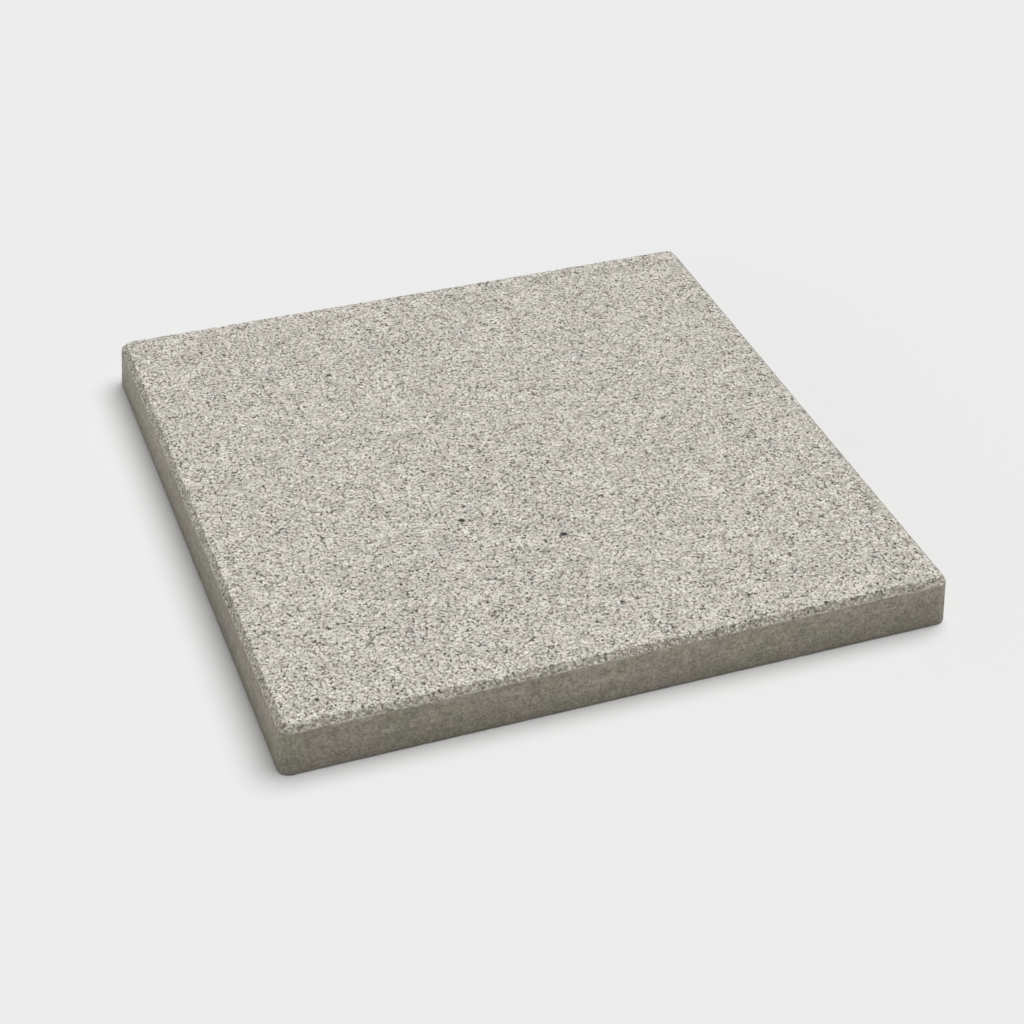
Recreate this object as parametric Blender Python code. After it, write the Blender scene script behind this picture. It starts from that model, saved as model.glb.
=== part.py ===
"""A square two-layer slab: a granite-chip facing pressed onto a concrete backing.

The two layers are cast and pressed together in one steel mould, face down, so both are cut here
from one blank with the mould's shape: walls that lean out to the base, rounded corners, a
45 degree chamfer round the working face and a softened edge round the underside.

Metres, +Z up. The origin is the middle of the underside.
"""

import bmesh
import bpy

# Driving dimensions
SIDE = 0.500  # the square, across the base
THICKNESS = 0.040
FACING_DEPTH = 0.010  # granite-chip layer, down from the working face
WALL_DRAFT = 0.0023  # how far each wall leans in from the base to the arris
CHAMFER = 0.0045  # 45 degrees, round the working face
CORNER_RADIUS = 0.009  # upright corners, in plan
BASE_ROUNDING = 0.0015
BOND_GAP = 0.0003  # keeps the two solids from sharing a face

# Facets
CORNER_SEGMENTS = 8
BASE_SEGMENTS = 3

# Derived heights and widths
ARRIS_HEIGHT = THICKNESS - CHAMFER
ARRIS_SIDE = SIDE - 2 * WALL_DRAFT
BOND_HEIGHT = THICKNESS - FACING_DEPTH

# Finishes: linear colour, roughness
GRANITE_CHIPS = ((0.52, 0.50, 0.45, 1.0), 0.75)
CEMENT_SKIN = ((0.20, 0.19, 0.16, 1.0), 0.85)


def clear_scene():
    """Remove whatever objects the file opened with."""
    for obj in list(bpy.data.objects):
        bpy.data.objects.remove(obj, do_unlink=True)


def finish(name, colour, roughness):
    """A Principled material for one layer."""
    material = bpy.data.materials.new(name)
    material.use_nodes = True
    shader = material.node_tree.nodes["Principled BSDF"]
    shader.inputs["Base Color"].default_value = colour
    shader.inputs["Roughness"].default_value = roughness
    shader.inputs["Metallic"].default_value = 0.0
    return material


def face_at(mesh, height):
    """The flat face that lies at this height."""
    return next(
        face
        for face in mesh.faces
        if all(abs(vert.co.z - height) < 1e-6 for vert in face.verts)
    )


def is_upright(edge):
    """Whether an edge runs from the base to the arris."""
    low, high = sorted(vert.co.z for vert in edge.verts)
    return high - low > ARRIS_HEIGHT / 2


def slab_blank():
    """The whole slab as the mould makes it, as an edit mesh."""
    mesh = bmesh.new()
    bmesh.ops.create_cube(mesh, size=1.0)
    for vert in mesh.verts:
        at_top = vert.co.z > 0
        side = ARRIS_SIDE if at_top else SIDE
        vert.co.x *= side
        vert.co.y *= side
        vert.co.z = ARRIS_HEIGHT if at_top else 0.0

    corners = [edge for edge in mesh.edges if is_upright(edge)]
    bmesh.ops.bevel(
        mesh,
        geom=corners,
        offset=CORNER_RADIUS,
        offset_type="OFFSET",
        segments=CORNER_SEGMENTS,
        profile=0.5,
        affect="EDGES",
        clamp_overlap=True,
    )

    # Insetting the top face by the chamfer while raising it by the same amount makes 45 degrees.
    bmesh.ops.inset_region(
        mesh,
        faces=[face_at(mesh, ARRIS_HEIGHT)],
        thickness=CHAMFER,
        depth=CHAMFER,
        use_even_offset=True,
    )

    bmesh.ops.bevel(
        mesh,
        geom=list(face_at(mesh, 0.0).edges),
        offset=BASE_ROUNDING,
        offset_type="OFFSET",
        segments=BASE_SEGMENTS,
        profile=0.5,
        affect="EDGES",
        clamp_overlap=True,
    )
    return mesh


def keep_layer(mesh, height, keep_above):
    """Cut the blank flat at a height, keep one side of the cut and close it."""
    cut = bmesh.ops.bisect_plane(
        mesh,
        geom=mesh.verts[:] + mesh.edges[:] + mesh.faces[:],
        plane_co=(0.0, 0.0, height),
        plane_no=(0.0, 0.0, 1.0),
        clear_inner=keep_above,
        clear_outer=not keep_above,
    )
    rim = [part for part in cut["geom_cut"] if isinstance(part, bmesh.types.BMEdge)]
    bmesh.ops.contextual_create(mesh, geom=rim)
    bmesh.ops.recalc_face_normals(mesh, faces=mesh.faces[:])


def add_layer(name, cut_height, keep_above, material, collection):
    """One layer of the slab, as a named object."""
    mesh = slab_blank()
    keep_layer(mesh, cut_height, keep_above)
    data = bpy.data.meshes.new(name)
    mesh.to_mesh(data)
    mesh.free()
    data.materials.append(material)
    data.shade_smooth()
    data.set_sharp_from_angle(angle=0.5)
    layer = bpy.data.objects.new(name, data)
    collection.objects.link(layer)
    return layer


def build():
    """Model the slab's two layers."""
    clear_scene()
    collection = bpy.data.collections.new("granite_slab")
    bpy.context.scene.collection.children.link(collection)
    add_layer(
        "granite_face",
        BOND_HEIGHT + BOND_GAP / 2,
        True,
        finish("granite_chips", *GRANITE_CHIPS),
        collection,
    )
    add_layer(
        "concrete_backing",
        BOND_HEIGHT - BOND_GAP / 2,
        False,
        finish("cement_skin", *CEMENT_SKIN),
        collection,
    )


build()
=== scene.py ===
"""A pressed paving slab: a face of granite chips on a concrete backing, lying on a pale floor.

The slab is made the way a slab press makes it. One steel mould gives both layers their outside:
walls that lean out to the base, round upright corners, a chamfer round the working face and a
softened edge underneath. The facing mix goes into the mould first, the backing concrete on top of
it, and the two are pressed into one stone. Its face and chamfer are then blasted, which bares the
chips, while the walls keep the smooth skin of cement that the mould gave them.

Lengths are metres, +Z is up, and the origin is the middle of the underside.
"""

import logging
import math
from collections.abc import Callable
from dataclasses import dataclass, field
from enum import Enum

import bmesh
import bpy
from mathutils import Matrix, Vector


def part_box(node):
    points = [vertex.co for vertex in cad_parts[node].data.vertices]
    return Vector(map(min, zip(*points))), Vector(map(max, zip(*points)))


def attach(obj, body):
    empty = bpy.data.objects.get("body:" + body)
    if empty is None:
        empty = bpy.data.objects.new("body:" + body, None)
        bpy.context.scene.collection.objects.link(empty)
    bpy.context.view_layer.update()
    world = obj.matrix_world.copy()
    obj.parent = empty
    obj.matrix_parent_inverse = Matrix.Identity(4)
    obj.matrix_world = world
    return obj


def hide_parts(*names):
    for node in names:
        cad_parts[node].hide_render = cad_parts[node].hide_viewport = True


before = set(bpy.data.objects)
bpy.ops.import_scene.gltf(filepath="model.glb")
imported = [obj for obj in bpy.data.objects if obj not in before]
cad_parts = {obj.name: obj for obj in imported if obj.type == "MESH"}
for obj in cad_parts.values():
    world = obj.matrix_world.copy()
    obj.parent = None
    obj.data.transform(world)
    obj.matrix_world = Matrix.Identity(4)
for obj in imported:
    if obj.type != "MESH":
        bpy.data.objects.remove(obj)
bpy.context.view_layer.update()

LOG = logging.getLogger("granite_slab")
MM = 0.001
PRESSED = "as_pressed"  # attribute: where each point of a piece lay before its relief was cut
ON_CUT = 1e-5  # a vertex this near a cut counts as on it
ALIGNED = 0.99  # an edge with this much of its length along an axis runs that way
SMOOTH_BELOW = math.radians(50)  # faces that meet at less are shaded as one

Colour = tuple[float, float, float, float]
Ramp = tuple[tuple[float, str], ...]  # places from 0 to 1, and their colours as sRGB hex
Span = tuple[float, float]
Tree = bpy.types.NodeTree
Socket = bpy.types.NodeSocket
Piece = bpy.types.Object


class Layer(Enum):
    """The slab's two layers, by the names of their CAD nodes."""

    FACING = "granite_face"
    BACKING = "concrete_backing"


class Slot(Enum):
    """The record's material slots."""

    GRANITE = "granite_chips"
    CEMENT = "cement_skin"


class Part(Enum):
    """What a mesh is made of, by the names of the edit modes."""

    VERT = "VERT"
    EDGE = "EDGE"
    FACE = "FACE"


class Grain(Enum):
    """The shapes that a relief can have, by the names of their textures."""

    CLOUDS = "CLOUDS"
    CELLS = "VORONOI"


class Zone(Enum):
    """The parts of a layer that a relief can act on, by their vertex groups."""

    WHOLE = "whole"
    BARED = "bared"
    ARRIS = "arris"
    UNDER = "under"
    BASE = "base"


# -------- colour, nodes


def srgb(code: str) -> Colour:
    """Turn an sRGB hex colour into the linear colour that a shader takes.

    Args:
        code: Six hex digits.

    Returns:
        The linear red, green and blue, and an alpha of 1.
    """
    channels = [int(code[i : i + 2], 16) / 255 for i in (0, 2, 4)]
    linear = [c / 12.92 if c <= 0.04045 else ((c + 0.055) / 1.055) ** 2.4 for c in channels]
    return (*linear, 1.0)


def add(
    tree: Tree,
    kind: str,
    inputs: dict[str | int, object] | None = None,
    out: str | int = 0,
    ramp: Ramp = (),
    **settings: object,
) -> Socket:
    """Add one node, with its settings made and its inputs set or linked.

    Args:
        tree: The material's node tree.
        kind: The node's type, without its ShaderNode prefix.
        inputs: What goes into its input sockets, by name or number: a constant or a socket.
        out: The output wanted, by name or number.
        ramp: A colour ramp's stops.
        settings: The node's other properties.

    Returns:
        The wanted output, or the first input of a node that has no outputs.
    """
    node = tree.nodes.new("ShaderNode" + kind)
    for name, value in settings.items():
        setattr(node, name, value)
    for name, value in (inputs or {}).items():
        if isinstance(value, Socket):
            tree.links.new(value, node.inputs[name])
        else:
            node.inputs[name].default_value = value
    if ramp:
        band = node.color_ramp
        while len(band.elements) < len(ramp):
            band.elements.new(1.0)
        for element, (place, code) in zip(band.elements, ramp):
            element.position = place
            element.color = srgb(code)
    return node.outputs[out] if node.outputs else node.inputs[0]


@dataclass
class Coat:
    """What a finish gives to the shader: its colour, its roughness and its height in metres."""

    colour: Socket
    roughness: Socket
    height: Socket


def jostle(tree: Tree, place: Socket, size: float, reach: float) -> Socket:
    """Shift a coordinate about, so that a pattern on it loses its straight edges.

    Args:
        tree: The material's node tree.
        place: The coordinate.
        size: Distance over which the shift changes.
        reach: The largest shift each way.

    Returns:
        The shifted coordinate.
    """
    noise = add(tree, "TexNoise", {"Vector": place, "Scale": 1 / size, "Detail": 1.0}, "Color")
    shift = add(tree, "VectorMath", {0: noise, 1: (0.5, 0.5, 0.5)}, operation="SUBTRACT")
    inputs = {0: shift, 1: (2 * reach, 2 * reach, 2 * reach), 2: place}
    return add(tree, "VectorMath", inputs, operation="MULTIPLY_ADD")


@dataclass(frozen=True)
class Mottle:
    """An uneven tint, multiplied over the colour that lies under it.

    Attributes:
        size: Distance over which it changes.
        ramp: Its colours, from the low end of its noise to the high end.
        detail: Finer steps of the noise.
        crispness: Strength of each step beside the one before it.
        squeeze: How much it is squeezed along each axis, if it is.
    """

    size: float
    ramp: Ramp
    detail: float = 2.0
    crispness: float = 0.5
    squeeze: tuple[float, float, float] | None = None

    def lay(self, tree: Tree, place: Socket, colour: Socket) -> tuple[Socket, Socket]:
        """Add the tint's nodes.

        Args:
            tree: The material's node tree.
            place: The coordinate.
            colour: What lies under the tint.

        Returns:
            The tinted colour, and the tint's own noise.
        """
        if self.squeeze:
            place = add(tree, "VectorMath", {0: place, 1: self.squeeze}, operation="MULTIPLY")
        inputs = {
            "Vector": place,
            "Scale": 1 / self.size,
            "Detail": self.detail,
            "Roughness": self.crispness,
        }
        noise = add(tree, "TexNoise", inputs)
        tint = add(tree, "ValToRGB", {0: noise}, ramp=self.ramp)
        inputs = {0: 1.0, 6: colour, 7: tint}
        tinted = add(tree, "Mix", inputs, 2, data_type="RGBA", blend_type="MULTIPLY")
        return tinted, noise


@dataclass(frozen=True)
class Specks:
    """Small dark bodies scattered through a stone, cut across wherever its surface passes.

    Attributes:
        spacing: Mean distance between them.
        radius: Of the largest.
        colour: Of the darkest. For pin-holes it is painted shade.
        strength: How far that colour covers the ground.
        pit: Depth of the hole that each leaves.
        smallest: Radius of the smallest, against the largest.
        steepness: How sharply a speck's edge falls off.
    """

    spacing: float
    radius: float
    colour: str
    strength: float
    pit: float
    smallest: float = 0.3
    steepness: float = 4.0

    def lay(
        self, tree: Tree, place: Socket, colour: Socket, height: Socket, crowd: Socket | None = None
    ) -> tuple[Socket, Socket]:
        """Add the specks' nodes.

        Args:
            tree: The material's node tree.
            place: The coordinate.
            colour: Of the ground.
            height: Of the ground.
            crowd: How thick the specks lie, if that varies.

        Returns:
            The colour and the height with the specks in them.
        """
        cells = {"Vector": place, "Scale": 1 / self.spacing}
        voronoi = add(tree, "TexVoronoi", cells, "Distance").node
        chance = add(tree, "SeparateColor", {0: voronoi.outputs["Color"]}, 2)
        reach = self.radius / self.spacing
        inputs = {0: chance, 1: (1 - self.smallest) * reach, 2: self.smallest * reach}
        radius = add(tree, "Math", inputs, operation="MULTIPLY_ADD")
        inside = {0: radius, 1: voronoi.outputs["Distance"]}
        depth = add(tree, "Math", inside, operation="SUBTRACT")
        inputs = {0: depth, 1: self.steepness / reach}
        mask = add(tree, "Math", inputs, operation="MULTIPLY", use_clamp=True)
        cover = add(tree, "Math", {0: mask, 1: self.strength}, operation="MULTIPLY")
        if crowd is not None:
            cover = add(tree, "Math", {0: cover, 1: crowd}, operation="MULTIPLY", use_clamp=True)
        inputs = {0: cover, 6: colour, 7: srgb(self.colour)}
        colour = add(tree, "Mix", inputs, 2, data_type="RGBA")
        inputs = {0: mask, 1: -self.pit, 2: height}
        return colour, add(tree, "Math", inputs, operation="MULTIPLY_ADD")


@dataclass(frozen=True)
class Mineral:
    """One size of grain in crushed granite, with the gaps and seams between such grains.

    Attributes:
        size: Mean distance across.
        dome: How far a grain's middle stands above its corners.
        gap_start: Where a gap begins, from 0 in a grain's middle to 1 far out at its corners.
        gap_cover: How far the gap's colour covers the stone.
        seam_level: Levels of a noise between which short seams come up along the joints.
        seam_colour: The seams' colour.
    """

    size: float
    dome: float
    gap_start: float
    gap_cover: float
    seam_level: Span
    seam_colour: str


@dataclass(frozen=True)
class GraniteChips:
    """Crushed light granite, blasted bare: feldspar and quartz chips with black mica flakes.

    Feldspar makes the cream and near-white chips and quartz the grey ones. The blasting leaves each
    chip matt, digs the paste out from between them and breaks the soft mica down into small dark
    pits. From a distance that is a fine, dry, neutral grey with no shine; close to, a crisp mosaic
    of pale chips with short dark strokes in the gaps.

    The chips are sieved to 1 to 4 mm. Mica flakes and the slits between crystals are mostly under
    0.3 mm, too fine to show, so they are drawn 2 to 4 times as coarse.

    Attributes:
        chips: The crushed pieces of rock.
        crystals: The mineral grains in them.
        wander: Distance over which the grains' outlines wander, and how far.
        whole: Colours of the chips that are one mineral through.
        mixed: Colours of the crystals in the other chips.
        whole_above: Draw above which a chip is one mineral through.
        crystals_show: How much the crystals show, in a mixed chip and in a whole one.
        mottles: Tints of several beds of rock, and two of shade.
        calm_size: Distance between larger chips, clear of gaps and flakes.
        calm_above: Draw above which there is one.
        calm_rim: Where its middle ends and its rim begins.
        crowding: How thick gaps and flakes lie there.
        gap_width: Width over which a gap darkens.
        gap_paste_and_shade: The paste in a gap, darkened with painted shade.
        seam_break: Length of a seam's strokes.
        seam_cover: How far a seam covers the stone.
        seam_edge: Where a seam begins and where it is full, in grains from the joint.
        chip_step: How unevenly high the chips stand.
        specks: Fine and coarse mica, and the few big dark grains.
        roughness: The least, and how much more there can be.
    """

    # Painted shade: the chips' dark seam colour stands in for the shade in open slits.
    chips: Mineral = Mineral(3.0 * MM, 0.9 * MM, 0.73, 0.75, (0.5, 0.6), "484236")
    crystals: Mineral = Mineral(1.5 * MM, 0.4 * MM, 0.76, 0.45, (0.49, 0.40), "fffcf5")
    wander: Span = (1.0 * MM, 0.45 * MM)
    whole: Ramp = (
        (0.0, "9d9991"), (0.12, "c5c1b9"), (0.4, "dbd7ce"), (0.75, "ece8e0"), (1.0, "fffdf6"),
    )
    mixed: Ramp = (
        (0.0, "4d483d"), (0.08, "8f8b80"), (0.2, "c8c4bb"), (0.6, "e9e5dd"), (1.0, "fffef9"),
    )
    whole_above: float = 0.5
    crystals_show: Span = (0.85, 0.2)
    mottles: tuple[Mottle, ...] = (
        Mottle(13 * MM, ((0.29, "f7f8f1"), (0.38, "fcfcfa"), (0.62, "fdfcfa"), (0.71, "fff6f2"))),
        Mottle(30 * MM, ((0.32, "fefcf9"), (0.5, "fdfbfa"), (0.68, "fcfafa"))),
        Mottle(17 * MM, ((0.3, "ebebeb"), (0.7, "fdfdfd"))),
        Mottle(7 * MM, ((0.32, "ebebeb"), (0.68, "ffffff"))),
    )
    calm_size: float = 7 * MM
    calm_above: float = 0.35
    calm_rim: Span = (0.42, 0.62)
    crowding: Span = (0.15, 1.25)
    gap_width: float = 0.14
    # painted shade darkens the paste in the dug-out gaps
    gap_paste_and_shade: str = "5a5446"
    seam_break: float = 2.1 * MM
    seam_cover: float = 0.95
    seam_edge: Span = (0.10, 0.03)
    chip_step: float = 0.5 * MM
    specks: tuple[Specks, ...] = (
        Specks(2.6 * MM, 0.7 * MM, "605a4d", 0.8, 0.3 * MM),
        Specks(4.0 * MM, 1.15 * MM, "443e33", 0.9, 0.3 * MM),
        Specks(44 * MM, 3.1 * MM, "2e2c28", 0.95, 0.3 * MM),
    )
    roughness: Span = (0.68, 0.2)

    def lay(self, tree: Tree, place: Socket) -> Coat:
        """Add the finish's nodes.

        Args:
            tree: The material's node tree.
            place: Where each point lies, in metres.

        Returns:
            The coat.
        """
        bent = jostle(tree, place, *self.wander)
        inputs = {"Vector": bent, "Scale": 1 / self.chips.size}
        chips = add(tree, "TexVoronoi", inputs).node
        inputs = {"Vector": bent, "Scale": 1 / self.crystals.size}
        crystals = add(tree, "TexVoronoi", inputs).node
        chip_kind = add(tree, "SeparateColor", {0: chips.outputs["Color"]}).node
        crystal_kind = add(tree, "SeparateColor", {0: crystals.outputs["Color"]}).node

        # About half of the chips are one mineral through; the others show their crystals.
        whole = add(tree, "ValToRGB", {0: chip_kind.outputs[0]}, ramp=self.whole)
        mixed = add(tree, "ValToRGB", {0: crystal_kind.outputs[0]}, ramp=self.mixed)
        inputs = {0: chip_kind.outputs[1], 1: self.whole_above}
        is_whole = add(tree, "Math", inputs, operation="GREATER_THAN")
        in_mixed, in_whole = self.crystals_show
        inputs = {0: is_whole, 1: in_whole - in_mixed, 2: in_mixed}
        share = add(tree, "Math", inputs, operation="MULTIPLY_ADD")
        colour = add(tree, "Mix", {0: share, 6: whole, 7: mixed}, 2, data_type="RGBA")

        # The chips come from several beds of rock, so patches lean to pink, straw, green or violet.
        for mottle in self.mottles:
            colour, _ = mottle.lay(tree, place, colour)

        # Here and there a larger chip lies clear of gaps and flakes, and they crowd round its edge.
        inputs = {"Vector": bent, "Scale": 1 / self.calm_size}
        calm = add(tree, "TexVoronoi", inputs).node
        picked = add(tree, "SeparateColor", {0: calm.outputs["Color"]})
        picked = add(tree, "Math", {0: picked, 1: self.calm_above}, operation="GREATER_THAN")
        (middle, rim), (thin, thick) = self.calm_rim, self.crowding
        inputs = {0: calm.outputs["Distance"], 1: middle, 2: rim, 3: thin, 4: thick}
        crowd = add(tree, "MapRange", inputs)
        crowd = add(tree, "Mix", {0: picked, 2: 1.0, 3: crowd})

        # The chips stand at uneven heights, and the gaps where they meet are dug out, their paste
        # darkened with painted shade.
        inputs = {0: chip_kind.outputs[0], 1: self.chip_step, 2: 0.0}
        height = add(tree, "Math", inputs, operation="MULTIPLY_ADD")
        for cells, mineral in ((chips, self.chips), (crystals, self.crystals)):
            out = cells.outputs["Distance"]
            inputs = {0: out, 1: mineral.gap_start, 2: mineral.gap_start + self.gap_width}
            gap = add(tree, "MapRange", inputs)
            shade = add(tree, "Math", {0: gap, 1: mineral.gap_cover}, operation="MULTIPLY")
            shade = add(tree, "Math", {0: shade, 1: crowd}, operation="MULTIPLY", use_clamp=True)
            inputs = {0: shade, 6: colour, 7: srgb(self.gap_paste_and_shade)}
            colour = add(tree, "Mix", inputs, 2, data_type="RGBA")
            hump = add(tree, "Math", {0: out, 1: 2.0}, operation="POWER")
            inputs = {0: hump, 1: -mineral.dome, 2: height}
            height = add(tree, "Math", inputs, operation="MULTIPLY_ADD")

        # Slits open along some of the chips' joints, dark with painted shade, and crystals' broken
        # edges make pale strokes.
        inputs = {"Vector": place, "Scale": 1 / self.seam_break, "Detail": 1.0}
        patchy = add(tree, "TexNoise", inputs)
        begins, full = self.seam_edge
        for mineral in (self.crystals, self.chips):
            inputs = {"Vector": bent, "Scale": 1 / mineral.size}
            edge = add(tree, "TexVoronoi", inputs, "Distance", feature="DISTANCE_TO_EDGE")
            seam = add(tree, "MapRange", {0: edge, 1: begins, 2: full})
            low, high = mineral.seam_level
            inputs = {0: patchy, 1: low, 2: high, 3: 0.0, 4: self.seam_cover}
            shown = add(tree, "MapRange", inputs)
            cover = add(tree, "Math", {0: seam, 1: shown}, operation="MULTIPLY")
            inputs = {0: cover, 6: colour, 7: srgb(mineral.seam_colour)}
            colour = add(tree, "Mix", inputs, 2, data_type="RGBA")

        # The mica flakes lie in pits of their own.
        for specks in self.specks:
            colour, height = specks.lay(tree, bent, colour, height, crowd)

        least, more = self.roughness
        inputs = {0: crystal_kind.outputs[1], 1: more, 2: least}
        roughness = add(tree, "Math", inputs, operation="MULTIPLY_ADD")
        return Coat(colour, roughness, height)


@dataclass(frozen=True)
class CementSkin:
    """The skin of cement paste that a steel mould leaves on pressed concrete.

    It is dense and smooth, olive-grey with clouds of purple-grey where the paste dried unevenly,
    speckled by the sand just under it and pricked by pin-holes. It has a dull sheen that shows most
    at a low angle.

    The sand under the skin is 0.2 to 2 mm and most pin-holes are under 0.3 mm, too fine to show, so
    the sand is drawn at 1 and 2.4 mm and the holes at 0.5 and 0.8 mm.

    Attributes:
        cloud: Distance over which the paste changes between olive and purple-grey.
        paste: The colours that it changes between.
        blotches: Small patches that dried darker and smoother.
        sand: Sand that darkens the skin over it and lifts it.
        grit: The coarser grains.
        drag: Faint upright marks, made as the slab leaves the mould.
        smears: Level smears of paler paste, left by wiping the mould between pressings.
        batch: The slow change from one end of a filling to the other.
        foot: Heights between which the painted shade at the foot of the wall gives way.
        painted_foot_shade: The painted shade's tint there.
        sand_relief: How far the sand lifts the skin.
        pores: Fine and coarse pin-holes, darkened with painted shade.
        ragged: How far their outlines wander, in sand sizes.
        roughness: The least, and how much more there can be.
    """

    cloud: float = 48 * MM
    paste: Ramp = ((0.38, "e6dcce"), (0.5, "e4dbc9"), (0.62, "e1dac4"))
    blotches: Mottle = Mottle(7 * MM, ((0.3, "dfdfdf"), (0.7, "ffffff")), 4.0)
    sand: Mottle = Mottle(1.0 * MM, ((0.3, "aaaaa8"), (0.5, "eaeae8"), (0.7, "ffffff")), 3.0, 0.7)
    grit: Mottle = Mottle(2.4 * MM, ((0.32, "d2d2d0"), (0.5, "f0f0ee"), (0.68, "ffffff")))
    drag: Mottle = Mottle(
        3 * MM, ((0.3, "f2f2f2"), (0.7, "ffffff")), 3.0, squeeze=(1.0, 1.0, 0.12)
    )
    smears: Mottle = Mottle(
        38 * MM,
        ((0.5, "ededed"), (0.62, "f4f4f4"), (0.7, "ffffff")),
        3.0,
        squeeze=(1.0, 1.0, 9.0),
    )
    batch: Mottle = Mottle(330 * MM, ((0.35, "ececec"), (0.65, "ffffff")), 0.0)
    # painted shade at the foot of the wall, darkest at the floor contact
    foot: Span = (2 * MM, 26 * MM)
    painted_foot_shade: Ramp = ((0.0, "dedede"), (1.0, "ffffff"))
    sand_relief: float = 0.1 * MM
    # painted shade in the pin-holes
    pores: tuple[Specks, ...] = (
        Specks(2.1 * MM, 0.5 * MM, "6b675b", 0.55, 0.4 * MM),
        Specks(4.6 * MM, 0.8 * MM, "524f45", 0.6, 0.4 * MM),
    )
    ragged: float = 0.4
    roughness: Span = (0.6, 0.2)

    def lay(self, tree: Tree, place: Socket) -> Coat:
        """Add the finish's nodes.

        Args:
            tree: The material's node tree.
            place: Where each point lies, in metres.

        Returns:
            The coat.
        """
        clouds = add(tree, "TexNoise", {"Vector": place, "Scale": 1 / self.cloud, "Detail": 2.0})
        colour = add(tree, "ValToRGB", {0: clouds}, ramp=self.paste)
        colour, blotches = self.blotches.lay(tree, place, colour)
        colour, sand = self.sand.lay(tree, place, colour)
        for mottle in (self.grit, self.drag, self.smears, self.batch):
            colour, _ = mottle.lay(tree, place, colour)

        # Painted shade: the colour darkens towards the foot of the wall, where it meets the floor.
        level = add(tree, "SeparateXYZ", {0: place}, "Z")
        low, high = self.foot
        risen = add(tree, "MapRange", {0: level, 1: low, 2: high})
        shade = add(tree, "ValToRGB", {0: risen}, ramp=self.painted_foot_shade)
        inputs = {0: 1.0, 6: colour, 7: shade}
        colour = add(tree, "Mix", inputs, 2, data_type="RGBA", blend_type="MULTIPLY")

        bent = jostle(tree, place, self.sand.size, self.ragged * self.sand.size)
        height = add(tree, "Math", {0: sand, 1: self.sand_relief}, operation="MULTIPLY")
        # Painted shade: the pin-holes are darkened as well as sunk.
        for pores in self.pores:
            colour, height = pores.lay(tree, bent, colour, height)
        least, more = self.roughness
        inputs = {0: blotches, 1: more, 2: least}
        roughness = add(tree, "Math", inputs, operation="MULTIPLY_ADD")
        return Coat(colour, roughness, height)


def finish_material(tree: Tree, coat: Coat) -> None:
    """Connect a coat to the shader and the output.

    Args:
        tree: The material's node tree.
        coat: Its colour, roughness and height.
    """
    bump = add(tree, "Bump", {"Strength": 1.0, "Distance": 1.0, "Height": coat.height})
    inputs = {
        "Base Color": coat.colour,
        "Roughness": coat.roughness,
        "Normal": bump,
        "IOR": 1.5,
        "Metallic": 0.0,
    }
    add(tree, "OutputMaterial", {"Surface": add(tree, "BsdfPrincipled", inputs)})


def start_material(name: str) -> tuple[bpy.types.Material, Tree]:
    """Start a material.

    Args:
        name: What the real finish is called.

    Returns:
        The material and its empty node tree.
    """
    material = bpy.data.materials.new(name)
    material.use_nodes = True
    material.node_tree.nodes.clear()
    return material, material.node_tree


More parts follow.
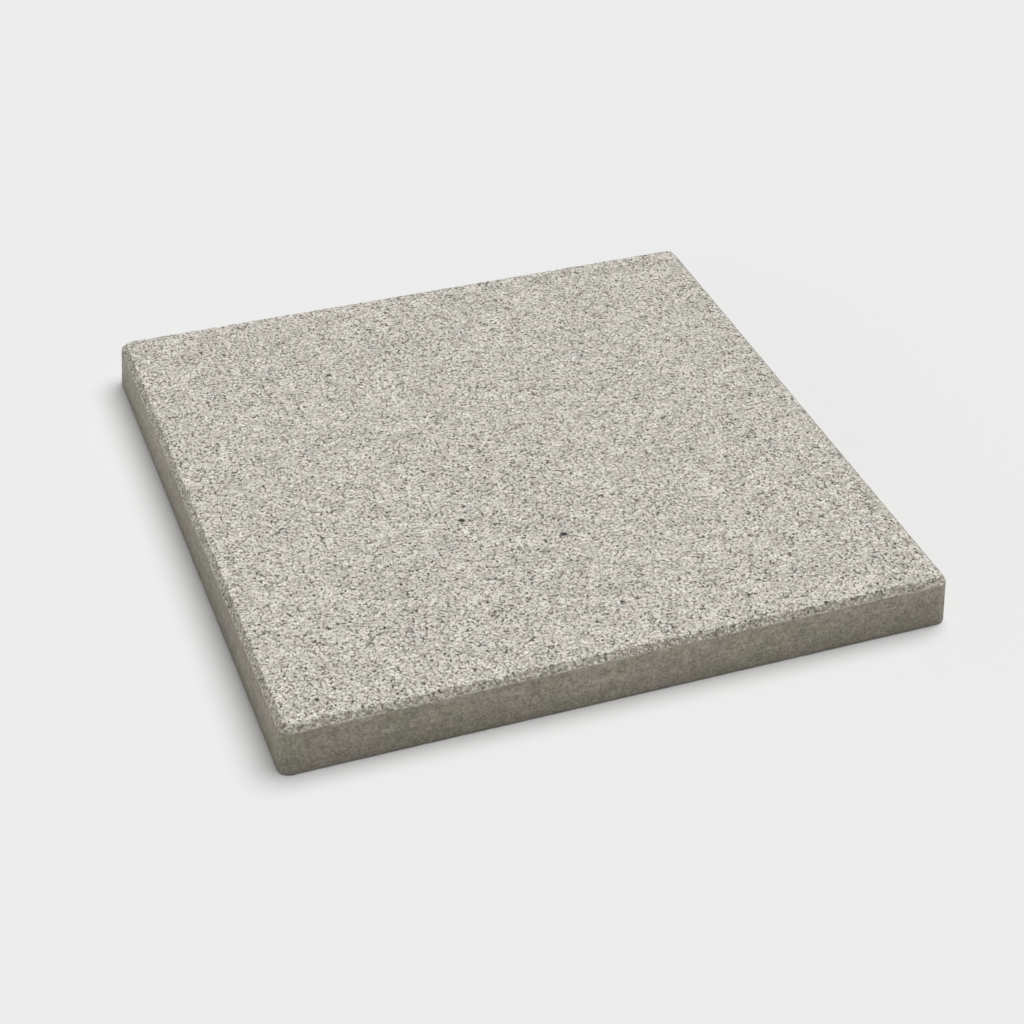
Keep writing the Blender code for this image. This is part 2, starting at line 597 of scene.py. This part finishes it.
@dataclass(frozen=True)
class FacingFinish:
    """Blasted granite on the face, half bared on the chamfer, and the mould's skin on the walls.

    The blast strikes the chamfer at a slant and leaves paste between its chips, so it is greyer
    than the face. It stops at the lower edge, just under which a thin, pale, broken line is a
    painted highlight where the edge catches the light.

    Attributes:
        thickness: Height of the face.
        arris_height: Height of the lower edge of the chamfer.
        below_face: Depths between which the chamfer's paste sets in.
        paste: How far paste covers the chamfer, at least and at most.
        paste_patch: Levels of the patchy noise between which that changes.
        paste_colour: The paste's colour.
        ragged: How far the edge of the blasting strays.
        ragged_size: Distance over which it strays.
        below_arris: Depths under the lower edge between which the blasting stops.
        edge_line: Half the width of the painted highlight, a thin line under the lower edge.
        edge_drop: Depth of its middle under the lower edge.
        edge_break: Distance over which it breaks off and starts again.
        edge_patch: Levels of the breaking noise between which it does.
        edge_cover: How far it covers the skin, at least and at most.
        highlight_colour: The painted highlight's colour.
    """

    thickness: float
    arris_height: float
    below_face: Span = (0.3 * MM, 0.8 * MM)
    paste: Span = (0.07, 0.77)
    paste_patch: Span = (0.38, 0.62)
    paste_colour: str = "8a8472"
    ragged: float = 0.35 * MM
    ragged_size: float = 1.8 * MM
    below_arris: Span = (0.6 * MM, 0.2 * MM)
    edge_line: float = 0.65 * MM
    edge_drop: float = 0.45 * MM
    edge_break: float = 5 * MM
    edge_patch: Span = (0.4, 0.58)
    edge_cover: Span = (0.05, 0.85)
    # painted highlight along the lower edge of the chamfer
    highlight_colour: str = "cac6ba"

    def make(self) -> bpy.types.Material:
        """Make the material.

        Returns:
            The material.
        """
        material, tree = start_material("blasted granite facing")
        place = add(tree, "Attribute", out="Vector", attribute_name=PRESSED)
        granite = GraniteChips().lay(tree, place)
        skin = CementSkin().lay(tree, place)
        level = add(tree, "SeparateXYZ", {0: place}, "Z")
        inputs = {"Vector": place, "Scale": 1 / self.ragged_size, "Detail": 2.0}
        patchy = add(tree, "TexNoise", inputs)
        inputs = {0: patchy, 1: 2 * self.ragged, 2: -self.ragged}
        stray = add(tree, "Math", inputs, operation="MULTIPLY_ADD")
        strayed = add(tree, "Math", {0: level, 1: stray}, operation="ADD")

        # Paste left between the chips of the chamfer.
        sets_in, full = (self.thickness - depth for depth in self.below_face)
        on_chamfer = add(tree, "MapRange", {0: level, 1: sets_in, 2: full})
        (low, high), (least, most) = self.paste_patch, self.paste
        pasted = add(tree, "MapRange", {0: patchy, 1: low, 2: high, 3: least, 4: most})
        cover = add(tree, "Math", {0: on_chamfer, 1: pasted}, operation="MULTIPLY")
        inputs = {0: cover, 6: granite.colour, 7: srgb(self.paste_colour)}
        colour = add(tree, "Mix", inputs, 2, data_type="RGBA")

        # The edge of the blasting, and a thin painted highlight just under the lower edge.
        low, high = (self.arris_height - depth for depth in self.below_arris)
        bared = add(tree, "MapRange", {0: strayed, 1: low, 2: high})
        colour = add(tree, "Mix", {0: bared, 6: skin.colour, 7: colour}, 2, data_type="RGBA")
        inputs = {0: level, 1: self.arris_height - self.edge_drop, 2: self.edge_line}
        in_line = add(tree, "Math", inputs, operation="COMPARE")
        inputs = {"Vector": place, "Scale": 1 / self.edge_break, "Detail": 3.0}
        broken = add(tree, "TexNoise", inputs)
        (low, high), (least, most) = self.edge_patch, self.edge_cover
        broken = add(tree, "MapRange", {0: broken, 1: low, 2: high, 3: least, 4: most})
        painted_highlight = add(tree, "Math", {0: in_line, 1: broken}, operation="MULTIPLY")
        # Painted highlight: the pale line where the lower edge catches the light.
        inputs = {0: painted_highlight, 6: colour, 7: srgb(self.highlight_colour)}
        colour = add(tree, "Mix", inputs, 2, data_type="RGBA")

        roughness = add(tree, "Mix", {0: bared, 2: skin.roughness, 3: granite.roughness})
        height = add(tree, "Mix", {0: bared, 2: skin.height, 3: granite.height})
        finish_material(tree, Coat(colour, roughness, height))
        return material


@dataclass(frozen=True)
class BackingFinish:
    """Pressed concrete under the skin of cement that the mould gave it.

    It has the same smooth, dull, clouded skin all over, down to the underside.
    """

    def make(self) -> bpy.types.Material:
        """Make the material.

        Returns:
            The material.
        """
        material, tree = start_material("cement-skinned concrete")
        place = add(tree, "Attribute", out="Vector", attribute_name=PRESSED)
        finish_material(tree, CementSkin().lay(tree, place))
        return material


# -------- edit helpers


def deselect_everything() -> None:
    """Leave no object selected, so that operators act on new work alone."""
    if bpy.context.object and bpy.context.object.mode != "OBJECT":
        bpy.ops.object.mode_set(mode="OBJECT")
    bpy.ops.object.select_all(action="DESELECT")


def pick(kind: Part, wanted: Callable[[object], bool]) -> None:
    """Select the parts of the mesh in edit mode that a test accepts, and nothing else.

    Args:
        kind: Vertices, edges or faces.
        wanted: The test.
    """
    bpy.ops.mesh.select_all(action="DESELECT")
    bpy.ops.mesh.select_mode(type=kind.value)
    mesh = bmesh.from_edit_mesh(bpy.context.object.data)
    parts = {Part.VERT: mesh.verts, Part.EDGE: mesh.edges, Part.FACE: mesh.faces}[kind]
    for part in parts:
        if wanted(part):
            part.select_set(True)
    mesh.select_flush_mode()
    bmesh.update_edit_mesh(bpy.context.object.data)


def between(part: object, low: float, high: float) -> bool:
    """Whether every vertex of an edge or face lies between two heights."""
    return all(low <= vert.co.z <= high for vert in part.verts)


def edge_vector(edge: bmesh.types.BMEdge) -> Vector:
    """The vector along an edge."""
    return edge.verts[1].co - edge.verts[0].co


def edge_middle(edge: bmesh.types.BMEdge) -> Vector:
    """The middle of an edge."""
    return (edge.verts[0].co + edge.verts[1].co) / 2


def runs(edge: bmesh.types.BMEdge, axis: int, shortest: float) -> bool:
    """Whether an edge runs along an axis and is longer than a length."""
    run = edge_vector(edge)
    return run.length > shortest and abs(run[axis]) > ALIGNED * run.length


def cut_flat(place: list[float], normal: list[float], **cleared: bool) -> None:
    """Cut the selected parts of the mesh with a plane, and clear a side of it if told."""
    bpy.ops.mesh.bisect(plane_co=place, plane_no=normal, threshold=ON_CUT, **cleared)


# -------- the layers


@dataclass
class Mould:
    """The steel mould that both layers are pressed in, which sets the slab's outside.

    Attributes:
        side: The square across the base.
        thickness: The whole slab.
        draft: How far a wall leans in from the base to the arris.
        chamfer: Width and height of the chamfer round the face.
        corner_radius: Radius of the upright corners.
        corner_segments: Facets round each upright corner.
        round_profile: Shape of a rounding: a half makes it an arc.
        tight: Slack allowed when parts are picked by place.
    """

    side: float = 0.500
    thickness: float = 0.040
    draft: float = 0.0023
    chamfer: float = 0.0045
    corner_radius: float = 0.009
    corner_segments: int = 8
    round_profile: float = 0.5
    tight: float = 1e-6

    @property
    def arris_height(self) -> float:
        """Height of the lower edge of the chamfer."""
        return self.thickness - self.chamfer

    @property
    def arris_side(self) -> float:
        """The square across the lower edge of the chamfer."""
        return self.side - 2 * self.draft

    @property
    def straight(self) -> float:
        """Half the length of a wall between its round corners."""
        return self.arris_side / 2 - self.corner_radius

    def cast(self, name: str) -> Piece:
        """Make the mould's shape as one closed block, and leave it in edit mode.

        Args:
            name: The new object's name.

        Returns:
            The block.
        """
        deselect_everything()
        top = self.arris_height
        bpy.ops.mesh.primitive_cube_add(
            size=1.0, location=(0.0, 0.0, top / 2), scale=(self.side, self.side, top)
        )
        block = bpy.context.object
        block.name = name
        bpy.ops.object.transform_apply(location=True, rotation=True, scale=True)
        bpy.ops.object.mode_set(mode="EDIT")
        pick(Part.VERT, lambda vert: vert.co.z > top - self.tight)
        lean = self.arris_side / self.side
        bpy.ops.transform.resize(value=(lean, lean, 1.0), center_override=(0.0, 0.0, top))
        pick(Part.EDGE, lambda edge: abs(edge_vector(edge).z) > top / 2)
        self.round_off(self.corner_radius, self.corner_segments)
        self.pick_level(Part.FACE, top)
        bpy.ops.mesh.inset(thickness=self.chamfer, depth=self.chamfer, use_even_offset=True)
        return block

    def pick_level(self, kind: Part, height: float) -> None:
        """Select the edges or faces that lie flat at a height, and nothing else."""
        pick(kind, lambda part: between(part, height - self.tight, height + self.tight))

    def round_off(self, width: float, segments: int) -> None:
        """Round off the selected edges.

        Args:
            width: How much of each neighbouring face the rounding takes.
            segments: Facets across it.
        """
        bpy.ops.mesh.bevel(
            offset_type="OFFSET",
            offset=width,
            segments=segments,
            profile=self.round_profile,
            affect="EDGES",
        )

    def soften(self, height: float, width: float, segments: int) -> None:
        """Round off the ring of edges that runs round the block at a height."""
        self.pick_level(Part.EDGE, height)
        self.round_off(width, segments)

    def score_round(self, low: float, high: float, step: float) -> None:
        """Cut level lines round the block, for its relief to bend along.

        Args:
            low: Height of the first line.
            high: Height that the lines stay under.
            step: Distance between lines.
        """
        count = max(1, round((high - low) / step))
        for line in range(count):
            bpy.ops.mesh.select_all(action="SELECT")
            cut_flat([0.0, 0.0, low + (high - low) * line / count], [0.0, 0.0, 1.0])

    def score_flat(self, height: float, offsets: list[float]) -> None:
        """Cut straight lines across the flat face at a height, both ways.

        Args:
            height: Where the face is.
            offsets: How far each line lies beyond the end of the straight walls.
        """
        for axis in (0, 1):
            for offset in offsets:
                for end in (-1, 1):
                    self.pick_level(Part.FACE, height)
                    place, normal = [0.0, 0.0, 0.0], [0.0, 0.0, 0.0]
                    place[axis] = end * (self.straight + offset)
                    normal[axis] = 1.0
                    cut_flat(place, normal)

    def divide_straights(self, parts: tuple[int, ...]) -> None:
        """Divide everything between the round corners into equal short lengths, both ways.

        Args:
            parts: How many lengths each pass makes of one.
        """
        for axis in (0, 1):

            def on_straight(edge: bmesh.types.BMEdge) -> bool:
                """Whether a long edge runs along the axis, between the corners."""
                between_corners = abs(edge_middle(edge)[axis]) < self.straight
                return between_corners and runs(edge, axis, self.corner_radius)

            for count in parts:
                pick(Part.EDGE, on_straight)
                bpy.ops.mesh.subdivide(number_cuts=count - 1)

    def halve_rim(self, inner: float, along: float) -> None:
        """Halve the lengths again in the rim outside a square, where the relief is finest.

        Args:
            inner: Half the side of the square that keeps its lengths.
            along: The present length, and edges much under it are left whole.
        """
        for axis in (0, 1):

            def in_rim(edge: bmesh.types.BMEdge) -> bool:
                """Whether a long enough edge runs along the axis, in the rim."""
                outside = abs(edge_middle(edge)[1 - axis]) > inner
                return outside and runs(edge, axis, 0.8 * along)

            pick(Part.EDGE, in_rim)
            bpy.ops.mesh.subdivide(number_cuts=1)


def open_at(height: float, keep_above: bool) -> None:
    """Cut the block level and throw one side away, which leaves it open there.

    Args:
        height: Where the cut is.
        keep_above: Which side stays.
    """
    bpy.ops.mesh.select_all(action="SELECT")
    side = {"clear_inner": keep_above, "clear_outer": not keep_above}
    cut_flat([0.0, 0.0, height], [0.0, 0.0, 1.0], **side)


def close_bond() -> None:
    """Close the open side with one flat face, the bond between the layers."""
    pick(Part.EDGE, lambda edge: edge.is_boundary)
    bpy.ops.mesh.edge_face_add()
    bpy.ops.mesh.select_all(action="SELECT")
    bpy.ops.mesh.normals_make_consistent(inside=False)


@dataclass(frozen=True)
class Relief:
    """One scale of unevenness in a surface, always cut inwards.

    Attributes:
        name: What it is on the stone.
        size: Distance from one hollow to the next.
        depth: Deepest cut.
        where: The part of the layer that it acts on.
        grain: Its shape.
        contrast: How sharply it turns from high to low.
        brightness: How much of the surface stays high.
    """

    name: str
    size: float
    depth: float
    where: Zone
    grain: Grain = Grain.CLOUDS
    contrast: float = 1.0
    brightness: float = 1.0

    def cut(self, piece: Piece) -> None:
        """Cut the relief into a piece.

        Args:
            piece: The piece, in object mode and active.
        """
        texture = bpy.data.textures.new(self.name, self.grain.value)
        texture.noise_scale = self.size
        texture.contrast = self.contrast
        texture.intensity = self.brightness
        texture.use_clamp = True
        modifier = piece.modifiers.new(self.name, "DISPLACE")
        modifier.texture = texture
        modifier.texture_coords = "LOCAL"
        modifier.direction = "NORMAL"
        modifier.mid_level = 1.0  # with the clamp above, nothing rises past the surface as it was
        modifier.strength = self.depth
        modifier.vertex_group = self.where.value
        bpy.ops.object.modifier_apply(modifier=modifier.name)


def weigh(piece: Piece, zone: Zone, weight: Callable[[Vector], float]) -> None:
    """Give a piece the vertex group of a zone, whose weight depends on place.

    Args:
        piece: The piece.
        zone: The zone.
        weight: Weight from 0 to 1 at a point.
    """
    group = piece.vertex_groups.new(name=zone.value)
    levels: dict[float, list[int]] = {}
    for vert in piece.data.vertices:
        level = round(weight(vert.co), 2)
        if level > 0:
            levels.setdefault(level, []).append(vert.index)
    for level, members in levels.items():
        group.add(members, level, "REPLACE")


def remember_place(piece: Piece) -> None:
    """Keep where each point of a piece lies now, for its finish to go by.

    Args:
        piece: The piece, before any relief.
    """
    kept = piece.data.attributes.new(PRESSED, "FLOAT_VECTOR", "POINT")
    kept.data.foreach_set("vector", [axis for vert in piece.data.vertices for axis in vert.co])


def ease(value: float, low: float, high: float) -> float:
    """Rise smoothly from 0 at low to 1 at high."""
    part = min(1.0, max(0.0, (value - low) / (high - low)))
    return part * part * (3 - 2 * part)


@dataclass
class PressedLayer:
    """What the two layers have in common.

    Attributes:
        mould: The mould the layer is pressed in.
        bond_height: Height of its side against the other layer.
        lengths: How the straight runs are divided, each number dividing the last one's parts.
        bond_margin: Height beside the bond that stays straight, so that the layers meet.
        bond_fade: Height over which the waviness then sets in.
        reliefs: The layer's unevenness, from coarse to fine.
    """

    mould: Mould
    bond_height: float
    lengths: tuple[int, ...] = (8, 29)
    bond_margin: float = 1 * MM
    bond_fade: float = 3 * MM
    reliefs: list[Relief] = field(default_factory=list)

    def model(self) -> Piece:
        """Build the layer's mesh, open at the bond, and leave it in edit mode."""
        raise NotImplementedError

    def zones(self) -> dict[Zone, Callable[[Vector], float]]:
        """Where the reliefs act: a weight from 0 to 1 at any place, for each zone."""
        raise NotImplementedError

    def finish(self) -> bpy.types.Material:
        """Make the layer's material."""
        raise NotImplementedError

    def build(self) -> Piece:
        """Model the layer, cut its relief, and give it its finish and its smooth shading.

        Returns:
            The piece.
        """
        piece = self.model()
        close_bond()
        bpy.ops.object.mode_set(mode="OBJECT")
        remember_place(piece)
        for zone, weight in self.zones().items():
            weigh(piece, zone, weight)
        for relief in self.reliefs:
            relief.cut(piece)
        piece.data.materials.clear()
        piece.data.materials.append(self.finish())
        bpy.ops.object.shade_smooth_by_angle(angle=SMOOTH_BELOW)
        return piece


@dataclass
class GraniteFacing(PressedLayer):
    """The facing layer: the working face, the chamfer and the top of the walls.

    Attributes:
        arris_rounding: How much the blasting takes off each edge of the chamfer.
        rounding_facets: Facets across such an edge.
        rim: Width of the finely divided border of the face.
        rim_lines: Where it is cut, as parts of its width.
        corner_lines: Where the face is cut beside the round corners.
        wall_step: Distance between level cuts round the wall.
        chamfer_step: The same on the chamfer.
        bared_fade: Heights from the lower edge between which the blasting's relief sets in.
        arris_fade: The same for the chipping.
        arris_reach: How far the chipping reaches onto the face.
    """

    arris_rounding: float = 0.3 * MM
    rounding_facets: int = 2
    rim: float = 4 * MM
    rim_lines: tuple[float, ...] = (0.75, 0.5, 0.25)
    corner_lines: tuple[float, ...] = (1 * MM, 2 * MM, 3 * MM)
    wall_step: float = 1.0 * MM
    chamfer_step: float = 0.9 * MM
    bared_fade: Span = (-0.6 * MM, 0.3 * MM)
    arris_fade: Span = (-1.2 * MM, -0.2 * MM)
    arris_reach: float = 2.5 * MM
    reliefs: list[Relief] = field(
        default_factory=lambda: [
            Relief("press waviness", 70 * MM, 0.2 * MM, Zone.WHOLE),
            Relief("blasted hollows", 6 * MM, 0.15 * MM, Zone.BARED, Grain.CLOUDS, 1.6),
            Relief("open grain", 2.6 * MM, 0.2 * MM, Zone.BARED, Grain.CELLS, 1.3),
            Relief("chipped arris", 3.6 * MM, 0.3 * MM, Zone.ARRIS, Grain.CLOUDS, 3.5, 1.5),
        ]
    )

    def model(self) -> Piece:
        """Build the layer's mesh.

        Returns:
            The piece, in edit mode.
        """
        mould = self.mould
        piece = mould.cast("granite_facing")
        low, high = mould.arris_height, mould.thickness
        mould.soften(high, self.arris_rounding, self.rounding_facets)
        mould.soften(low, self.arris_rounding, self.rounding_facets)
        open_at(self.bond_height, keep_above=True)
        clear = 1.2 * self.arris_rounding  # just past the facets of a rounded edge
        mould.score_round(self.bond_height + self.bond_margin, low - clear, self.wall_step)
        mould.score_round(low + clear, high - clear, self.chamfer_step)
        inside = [-self.rim * part for part in self.rim_lines]
        mould.score_flat(high, [0.0, *inside, -self.rim, *self.corner_lines])
        mould.divide_straights(self.lengths)
        length = 2 * mould.straight / math.prod(self.lengths)
        mould.halve_rim(mould.straight - self.rim + mould.tight, length)
        return piece

    def zones(self) -> dict[Zone, Callable[[Vector], float]]:
        """Where the reliefs act.

        Returns:
            For each zone, its weight at a place.
        """
        mould = self.mould
        low = mould.arris_height
        clear = self.bond_height + self.bond_margin

        def whole(place: Vector) -> float:
            """Nothing at the bond, all of it above."""
            return ease(place.z, clear, clear + self.bond_fade)

        def bared(place: Vector) -> float:
            """All of it on the face and the chamfer."""
            return ease(place.z, *(low + part for part in self.bared_fade))

        def arris(place: Vector) -> float:
            """All of it on the chamfer, fading out on the face and on the wall."""
            inward = mould.arris_side / 2 - mould.chamfer - max(abs(place.x), abs(place.y))
            at_face = 1 - ease(inward, 0.0, self.arris_reach)
            return at_face * ease(place.z, *(low + part for part in self.arris_fade))

        return {Zone.WHOLE: whole, Zone.BARED: bared, Zone.ARRIS: arris}

    def finish(self) -> bpy.types.Material:
        """Make the layer's material."""
        return FacingFinish(self.mould.thickness, self.mould.arris_height).make()


@dataclass
class ConcreteBacking(PressedLayer):
    """The backing layer: most of the walls, and the underside.

    Attributes:
        base_rounding: Radius round the underside.
        rounding_facets: Facets across it.
        lines: Where lines are cut underneath, from the ends of the straight walls.
        wall_step: Distance between level lines round the wall.
        under_fade: Heights between which the marks of the underside fade out.
        base_fade: The same for the wear of the base edge.
        base_reach: Distances in from the wall between which it fades out underneath.
    """

    base_rounding: float = 1.5 * MM
    rounding_facets: int = 3
    lines: tuple[float, ...] = (0.0, -3 * MM, -6 * MM, 3 * MM, 6 * MM)
    wall_step: float = 1.9 * MM
    under_fade: Span = (0.1 * MM, 1 * MM)
    base_fade: Span = (0.8 * MM, 3 * MM)
    base_reach: Span = (2 * MM, 6 * MM)
    reliefs: list[Relief] = field(
        default_factory=lambda: [
            Relief("press waviness", 70 * MM, 0.2 * MM, Zone.WHOLE),
            Relief("felt marks", 5 * MM, 0.3 * MM, Zone.UNDER, Grain.CLOUDS, 1.4),
            Relief("worn base edge", 5 * MM, 0.35 * MM, Zone.BASE, Grain.CLOUDS, 2.2, 1.2),
        ]
    )

    def model(self) -> Piece:
        """Build the layer's mesh.

        Returns:
            The piece, in edit mode.
        """
        mould = self.mould
        piece = mould.cast("concrete_body")
        mould.soften(0.0, self.base_rounding, self.rounding_facets)
        open_at(self.bond_height, keep_above=False)
        clear = self.base_rounding * 1.5  # well past the facets of the rounded edge
        mould.score_round(clear, self.bond_height - self.bond_margin, self.wall_step)
        mould.score_flat(0.0, list(self.lines))
        mould.divide_straights(self.lengths)
        return piece

    def zones(self) -> dict[Zone, Callable[[Vector], float]]:
        """Where the reliefs act.

        Returns:
            For each zone, its weight at a place.
        """
        clear = self.bond_height - self.bond_margin

        def whole(place: Vector) -> float:
            """Nothing at the bond, all of it below."""
            return 1 - ease(place.z, clear - self.bond_fade, clear)

        def under(place: Vector) -> float:
            """All of it on the underside."""
            return 1 - ease(place.z, *self.under_fade)

        def base(place: Vector) -> float:
            """All of it on the base edge, fading out underneath and on the wall."""
            inward = self.mould.side / 2 - max(abs(place.x), abs(place.y))
            return (1 - ease(place.z, *self.base_fade)) * (1 - ease(inward, *self.base_reach))

        return {Zone.WHOLE: whole, Zone.UNDER: under, Zone.BASE: base}

    def finish(self) -> bpy.types.Material:
        """Make the layer's material."""
        return BackingFinish().make()


# -------- studio


@dataclass
class Studio:
    """A pale floor and room, one very large soft light, a low white card, and the camera.

    Attributes:
        floor_size: Side of the floor.
        floor_colour: The floor's paint.
        azimuth: Turn of the camera round the slab, from straight in front.
        elevation: Height of the camera, as an angle.
        roll: Turn of the camera about its own axis.
        distance: From the point looked at.
        target: The point looked at.
        lens: Focal length in millimetres.
        sensor: Width of the film that the lens is for, in millimetres.
        sun_strength: Brightness of the soft light.
        sun_spread: Angle that the soft light fills in the sky.
        sun_tilt: How far it leans, about X and about Y.
        fill_strength: Brightness of the room all round.
        card_strength: Brightness that the card adds at its brightest, low on the left.
        card_falloff: How quickly the card fades with height.
    """

    floor_size: float = 60.0
    floor_colour: Colour = (0.80, 0.80, 0.80, 1.0)
    azimuth: float = math.radians(-21.2948)
    elevation: float = math.radians(36.9165)
    roll: float = math.radians(1.7064)
    distance: float = 1.65657
    target: tuple[float, float, float] = (-0.00381, -0.02442, 0.0)
    lens: float = 75.709
    sensor: float = 36.0
    sun_strength: float = 2.93
    sun_spread: float = math.radians(52)
    sun_tilt: tuple[float, float] = (math.radians(-7.5), math.radians(18))
    fill_strength: float = 0.12
    card_strength: float = 1.07
    card_falloff: float = 2.0

    def lay_floor(self) -> None:
        """Lay the floor."""
        deselect_everything()
        bpy.ops.mesh.primitive_plane_add(size=self.floor_size)
        floor = bpy.context.object
        floor.name = "studio_floor"
        material, tree = start_material("matt white floor paint")
        paint = {"Base Color": self.floor_colour, "Roughness": 1.0, "Specular IOR Level": 0.0}
        add(tree, "OutputMaterial", {"Surface": add(tree, "BsdfPrincipled", paint)})
        floor.data.materials.append(material)

    def hang_light(self) -> None:
        """Hang the soft light."""
        light = bpy.data.lights.new("overhead_softbox", "SUN")
        light.energy = self.sun_strength
        light.angle = self.sun_spread
        lamp = bpy.data.objects.new("overhead_softbox", light)
        lamp.rotation_euler = (self.sun_tilt[0], self.sun_tilt[1], 0.0)
        bpy.context.scene.collection.objects.link(lamp)

    def light_room(self) -> None:
        """Set the pale room, with a low white card all along its left side."""
        world = bpy.data.worlds.new("studio_room")
        world.use_nodes = True
        tree = world.node_tree
        tree.nodes.clear()
        toward = add(tree, "TexCoord", out="Generated")
        parts = add(tree, "SeparateXYZ", {0: toward}).node
        inputs = {0: parts.outputs["X"], 1: -1.0}
        left = add(tree, "Math", inputs, operation="MULTIPLY", use_clamp=True)
        inputs = {0: 1.0, 1: parts.outputs["Z"]}
        low = add(tree, "Math", inputs, operation="SUBTRACT", use_clamp=True)
        low = add(tree, "Math", {0: low, 1: self.card_falloff}, operation="POWER")
        card = add(tree, "Math", {0: left, 1: low}, operation="MULTIPLY")
        inputs = {0: card, 1: self.card_strength, 2: self.fill_strength}
        strength = add(tree, "Math", inputs, operation="MULTIPLY_ADD")
        background = add(tree, "Background", {"Color": srgb("ffffff"), "Strength": strength})
        add(tree, "OutputWorld", {"Surface": background})
        bpy.context.scene.world = world

    def place_camera(self) -> None:
        """Place the camera, and let colours through as they are."""
        data = bpy.data.cameras.new("camera")
        data.lens = self.lens
        data.sensor_width = self.sensor
        camera = bpy.data.objects.new("camera", data)
        bpy.context.scene.collection.objects.link(camera)
        level = math.cos(self.elevation)
        away = Vector(
            (
                math.sin(self.azimuth) * level,
                -math.cos(self.azimuth) * level,
                math.sin(self.elevation),
            )
        )
        camera.location = Vector(self.target) + away * self.distance
        facing = away.to_track_quat("Z", "Y").to_matrix().to_4x4()
        turn = facing @ Matrix.Rotation(self.roll, 4, "Z")
        camera.rotation_euler = turn.to_euler()
        bpy.context.scene.camera = camera
        bpy.context.scene.view_settings.view_transform = "Standard"

    def set_up(self) -> None:
        """Set up the floor, the lights and the camera."""
        self.lay_floor()
        self.hang_light()
        self.light_room()
        self.place_camera()


def main() -> None:
    """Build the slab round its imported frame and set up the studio."""
    logging.basicConfig(level=logging.INFO, format="%(message)s")
    LOG.info("packed nodes: %s", ", ".join(sorted(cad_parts)))
    facing_low, facing_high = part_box(Layer.FACING.value)
    _, backing_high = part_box(Layer.BACKING.value)
    bond_height = (facing_low[2] + backing_high[2]) / 2
    mould = Mould(thickness=facing_high[2])

    facing = GraniteFacing(mould, bond_height).build()
    backing = ConcreteBacking(mould, bond_height).build()
    for piece, layer, slot in (
        (facing, Layer.FACING, Slot.GRANITE),
        (backing, Layer.BACKING, Slot.CEMENT),
    ):
        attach(piece, "root")
        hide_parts(layer.value)
        piece.data.calc_loop_triangles()
        LOG.info("%s: %d triangles", piece.name, len(piece.data.loop_triangles))
    Studio().set_up()


if __name__ == "__main__":
    main()
